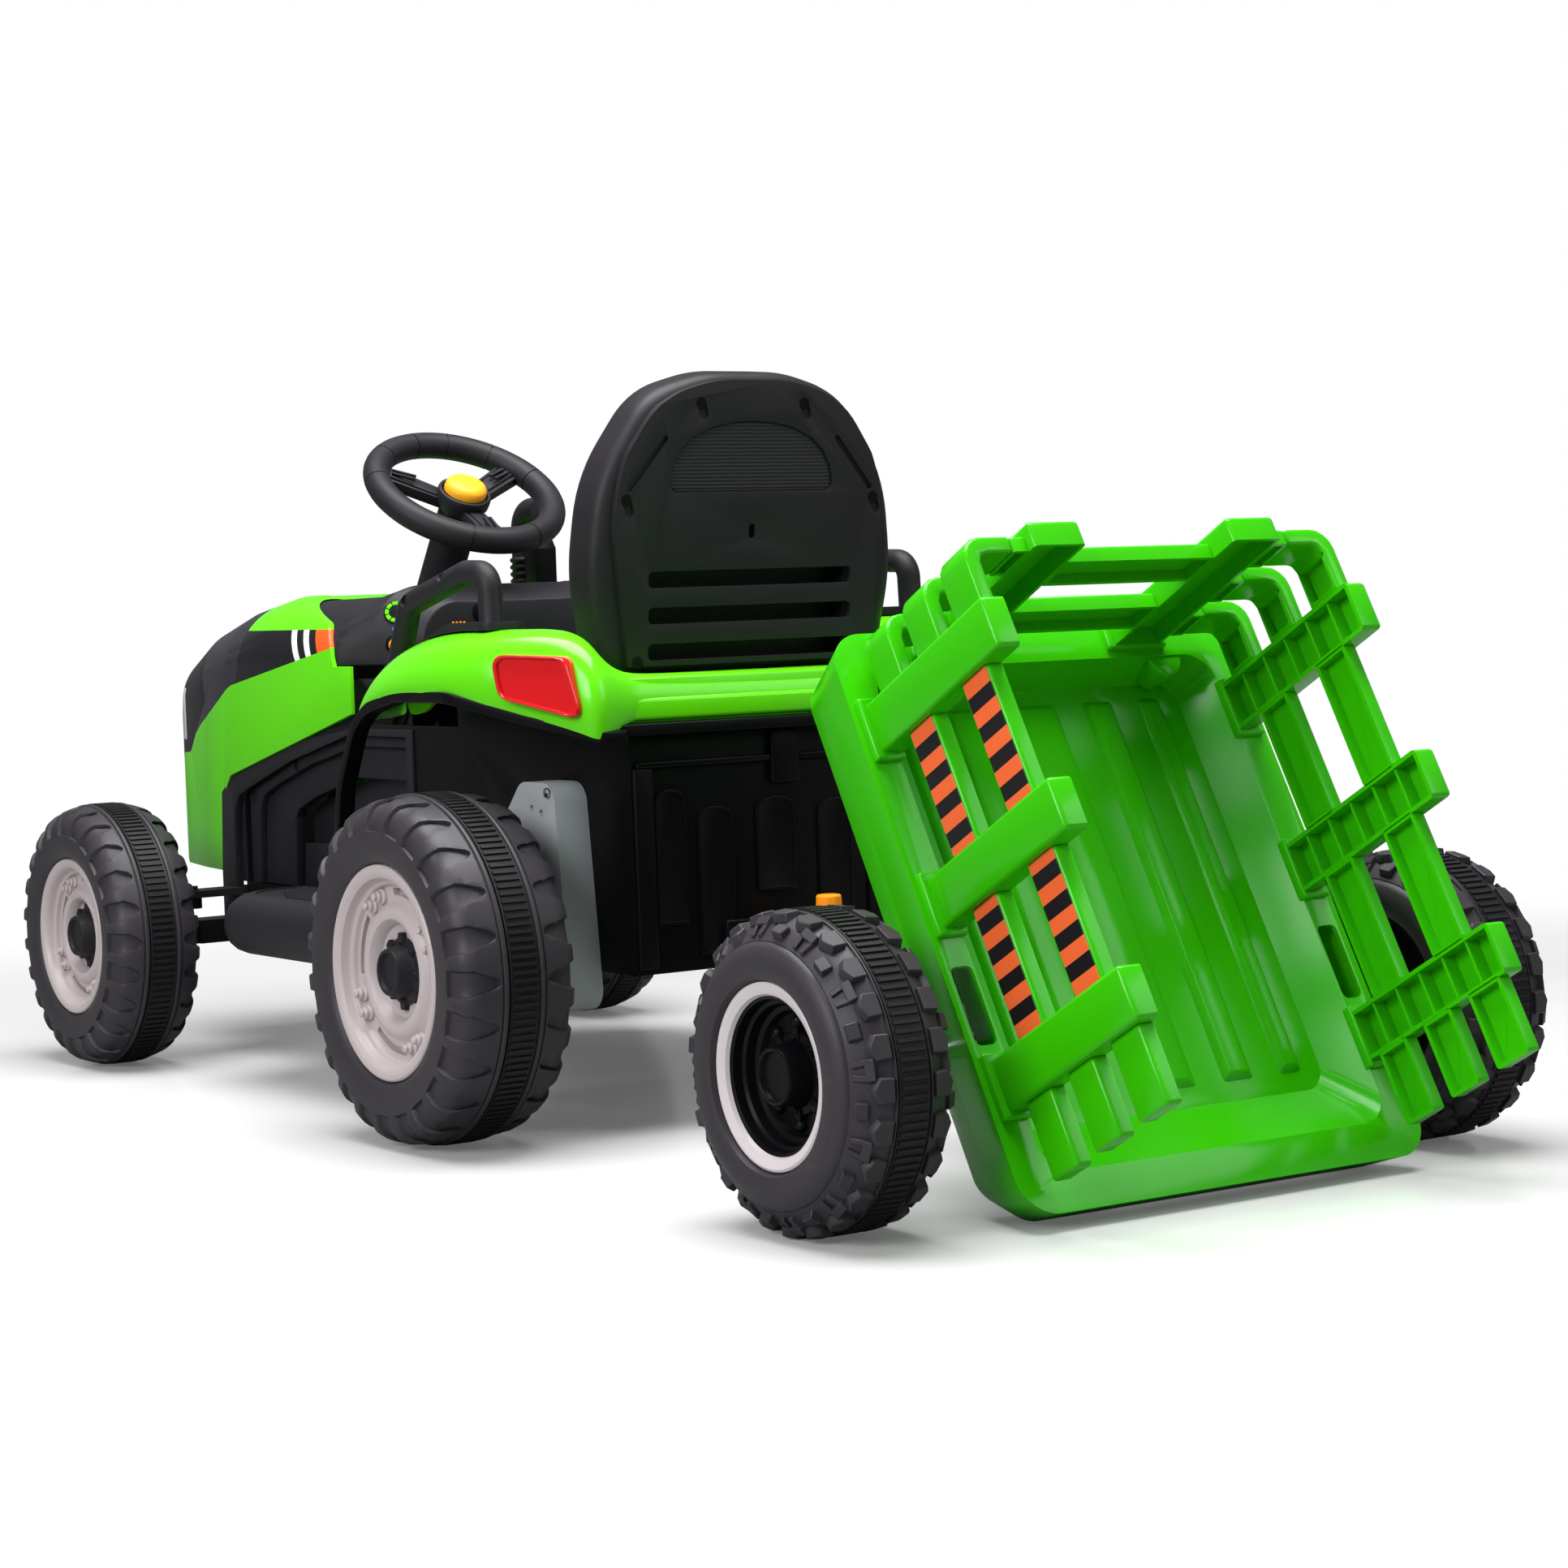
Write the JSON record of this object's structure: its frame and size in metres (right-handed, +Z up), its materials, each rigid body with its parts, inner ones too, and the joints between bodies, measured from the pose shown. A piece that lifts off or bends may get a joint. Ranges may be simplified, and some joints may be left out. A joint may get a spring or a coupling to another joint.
{
  "type": "ride on tractor toy",
  "caption": "Battery ride-on toy tractor with steering front wheels, bucket seat, grab handles and a two-wheeled trailer whose fenced tub tips back to unload.",
  "frame": {"origin": "on the floor under the middle of the whole toy, tractor and tipped trailer together", "axes": "+X to the tractor's nose, +Y to the driver's left, +Z up"},
  "size_m": [1.4068, 0.58, 0.5452],
  "materials": {
    "black_plastic": "fine moulded grain",
    "green_plastic": "glossy moulded colour",
    "nose_plastic": "semi-gloss",
    "clear_lens": "clear plastic lens",
    "red_lens": "translucent red with fine cells",
    "seat_plastic": "smooth satin",
    "steel": "zinc plated",
    "gearbox_plastic": "satin",
    "battery_plastic": "satin",
    "frame_metal": "black powder coat",
    "horn_plastic": "satin",
    "orange_plastic": "satin",
    "tyre_plastic": "moulded tread",
    "band_rubber": "ribbed",
    "rim_plastic": "satin silver-grey",
    "trailer_rim": "satin light grey"
  },
  "bodies": {
    "tractor": {"body_shell": "black_plastic", "bonnet": "green_plastic", "nose_cap": "nose_plastic", "headlight_lenses": "clear_lens", "dashboard": "black_plastic", "steering_column": "black_plastic", "exhaust_stack": "black_plastic", "stack_post": "black_plastic", "fender_body": "green_plastic", "fender_trim": "black_plastic", "tail_lamps": "red_lens", "grab_handles": "black_plastic", "seat_shell": "seat_plastic", "seat_back_panel": "seat_plastic", "seat_screws": "steel", "footboards": "black_plastic", "gearboxes": "gearbox_plastic", "drive_motors": "steel", "battery": "battery_plastic", "rear_axle": "steel", "front_axle_beam": "frame_metal"},
    "steering": {"steering_shaft": "steel", "steering_wheel": "black_plastic"},
    "horn": {"horn_button": "horn_plastic"},
    "knuckle_l": {"knuckle_left": "frame_metal"},
    "knuckle_r": {"knuckle_right": "frame_metal"},
    "tie": {"tie_rod": "frame_metal"},
    "starter": {"start_button": "orange_plastic"},
    "pedal": {"accelerator_pedal": "black_plastic"},
    "pin": {"hitch_pin": "orange_plastic"},
    "trailer": {"drawbar": "frame_metal", "trailer_axle": "steel"},
    "cargo_tub": {"tub": "green_plastic", "fence_left": "green_plastic", "fence_right": "green_plastic", "fence_front": "green_plastic"},
    "front_left_wheel": {"front_left_tyre": "tyre_plastic", "front_left_traction_band": "band_rubber", "front_left_rim": "rim_plastic", "front_left_hub_cap": "black_plastic"},
    "front_right_wheel": {"front_right_tyre": "tyre_plastic", "front_right_traction_band": "band_rubber", "front_right_rim": "rim_plastic", "front_right_hub_cap": "black_plastic"},
    "rear_left_wheel": {"rear_left_tyre": "tyre_plastic", "rear_left_traction_band": "band_rubber", "rear_left_rim": "rim_plastic", "rear_left_hub_cap": "black_plastic"},
    "rear_right_wheel": {"rear_right_tyre": "tyre_plastic", "rear_right_traction_band": "band_rubber", "rear_right_rim": "rim_plastic", "rear_right_hub_cap": "black_plastic"},
    "trailer_left_wheel": {"trailer_left_tyre": "tyre_plastic", "trailer_left_traction_band": "band_rubber", "trailer_left_rim": "trailer_rim", "trailer_left_hub_cap": "black_plastic"},
    "trailer_right_wheel": {"trailer_right_tyre": "tyre_plastic", "trailer_right_traction_band": "band_rubber", "trailer_right_rim": "trailer_rim", "trailer_right_hub_cap": "black_plastic"}
  },
  "joints": [
    {"name": "steering_turn", "type": "hinge", "parent": "tractor", "child": "steering", "pos_m": [0.34209, 0, 0.4733], "axis": [-0.5592, 0, 0.829], "range_deg": [-30, 30]},
    {"name": "left_knuckle_turn", "type": "hinge", "parent": "tractor", "child": "knuckle_l", "pos_m": [0.56939, 0.174, 0.111], "axis": [0, 0, 1], "range_deg": [-22, 22]},
    {"name": "right_knuckle_turn", "type": "hinge", "parent": "tractor", "child": "knuckle_r", "pos_m": [0.56939, -0.174, 0.111], "axis": [0, 0, 1], "range_deg": [-22, 22]},
    {"name": "tie_rod_shift", "type": "slide", "parent": "tractor", "child": "tie", "axis": [0, 1, 0], "range_m": [-0.015, 0.015]},
    {"name": "horn_press", "type": "slide", "parent": "steering", "child": "horn", "axis": [0.5592, 0, -0.829], "range_m": [0, 0.003], "stiffness_N_per_m": 600},
    {"name": "start_press", "type": "slide", "parent": "tractor", "child": "starter", "axis": [1, 0, 0], "range_m": [0, 0.003], "stiffness_N_per_m": 600},
    {"name": "pedal_press", "type": "hinge", "parent": "tractor", "child": "pedal", "pos_m": [0.27539, -0.178, 0.16], "axis": [0, 1, 0], "range_deg": [0, 14], "stiffness_Nm_per_rad": 1.5},
    {"name": "hitch_pin_pull", "type": "slide", "parent": "tractor", "child": "pin", "axis": [0, 0, 1], "range_m": [0, 0.045]},
    {"name": "hitch_yaw", "type": "hinge", "parent": "tractor", "child": "trailer", "pos_m": [-0.16461, 0, 0.1405], "axis": [0, 0, 1], "range_deg": [-20, 20]},
    {"name": "tub_tip", "type": "hinge", "parent": "trailer", "child": "cargo_tub", "pos_m": [-0.49761, 0, 0.098], "axis": [0, 1, 0], "range_deg": [0, 61.2]},
    {"name": "front_left_spin", "type": "hinge", "parent": "knuckle_l", "child": "front_left_wheel", "pos_m": [0.56939, 0.234, 0.111], "axis": [0, 1, 0], "continuous": true},
    {"name": "front_right_spin", "type": "hinge", "parent": "knuckle_r", "child": "front_right_wheel", "pos_m": [0.56939, -0.234, 0.111], "axis": [0, 1, 0], "continuous": true},
    {"name": "rear_left_spin", "type": "hinge", "parent": "tractor", "child": "rear_left_wheel", "pos_m": [-0.02461, 0.242, 0.125], "axis": [0, 1, 0], "continuous": true},
    {"name": "rear_right_spin", "type": "hinge", "parent": "tractor", "child": "rear_right_wheel", "pos_m": [-0.02461, -0.242, 0.125], "axis": [0, 1, 0], "continuous": true},
    {"name": "trailer_left_spin", "type": "hinge", "parent": "trailer", "child": "trailer_left_wheel", "pos_m": [-0.49761, 0.245, 0.098], "axis": [0, 1, 0], "continuous": true},
    {"name": "trailer_right_spin", "type": "hinge", "parent": "trailer", "child": "trailer_right_wheel", "pos_m": [-0.49761, -0.245, 0.098], "axis": [0, 1, 0], "continuous": true}
  ],
  "couplings": [
    {"joint": "left_knuckle_turn", "follows": "steering_turn", "ratio": 0.73333},
    {"joint": "right_knuckle_turn", "follows": "steering_turn", "ratio": 0.73333},
    {"joint": "tie_rod_shift", "follows": "steering_turn", "m_per_rad": -0.02861}
  ]
}
